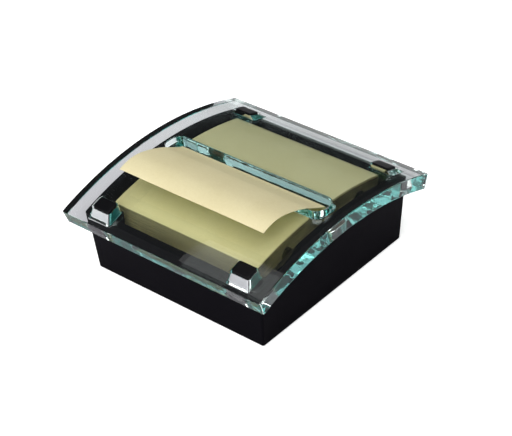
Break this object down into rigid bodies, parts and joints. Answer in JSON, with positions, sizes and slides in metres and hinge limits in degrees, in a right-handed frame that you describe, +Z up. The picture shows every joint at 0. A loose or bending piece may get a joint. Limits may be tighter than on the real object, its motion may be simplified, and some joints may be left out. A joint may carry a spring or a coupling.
{
  "type": "sticky note dispenser",
  "caption": "Desk dispenser for square sticky notes: a weighted black base with a pad tray, under a lift-off arched clear cover whose slot lets the top note stand out.",
  "frame": {"origin": "on the desk, under the middle of the cover", "axes": "+Z up, front towards -Y where the top note curls over, +X to the right seen from the front"},
  "size_m": [0.105, 0.1084, 0.0471],
  "materials": {
    "black_plastic": "satin moulded black",
    "clear_acrylic": "polished clear acrylic with a pale green edge",
    "grip_rubber": "soft black, slight sheen",
    "foot_rubber": "matt dark grey",
    "cast_weight": "rough sawn steel",
    "zinc_steel": "bright zinc plated",
    "note_paper": "uncoated pale yellow",
    "backing_card": "plain pulp card"
  },
  "bodies": {
    "base": {"base_shell": "black_plastic", "pad_tray": "black_plastic", "weight_slab": "cast_weight", "bottom_plate": "black_plastic", "corner_grip_front_left": "grip_rubber", "corner_grip_front_right": "grip_rubber", "corner_grip_rear_left": "grip_rubber", "corner_grip_rear_right": "grip_rubber", "bottom_screw_front_left": "zinc_steel", "bottom_screw_front_right": "zinc_steel", "bottom_screw_rear_left": "zinc_steel", "bottom_screw_rear_right": "zinc_steel", "foot_front_left": "foot_rubber", "foot_front_right": "foot_rubber", "foot_rear_left": "foot_rubber", "foot_rear_right": "foot_rubber", "pad_backing": "backing_card", "note_pad": "note_paper", "next_note": "note_paper"},
    "cover": {"clear_cover": "clear_acrylic", "top_note_tail": "note_paper"},
    "note": {"popped_note": "note_paper"}
  },
  "joints": [
    {"name": "cover_lift", "type": "slide", "parent": "base", "child": "cover", "axis": [0, 0, 1], "range_m": [0, 0.04]},
    {"name": "note_pull", "type": "slide", "parent": "cover", "child": "note", "axis": [0, -0.866, 0.5], "range_m": [0, 0.031]}
  ]
}
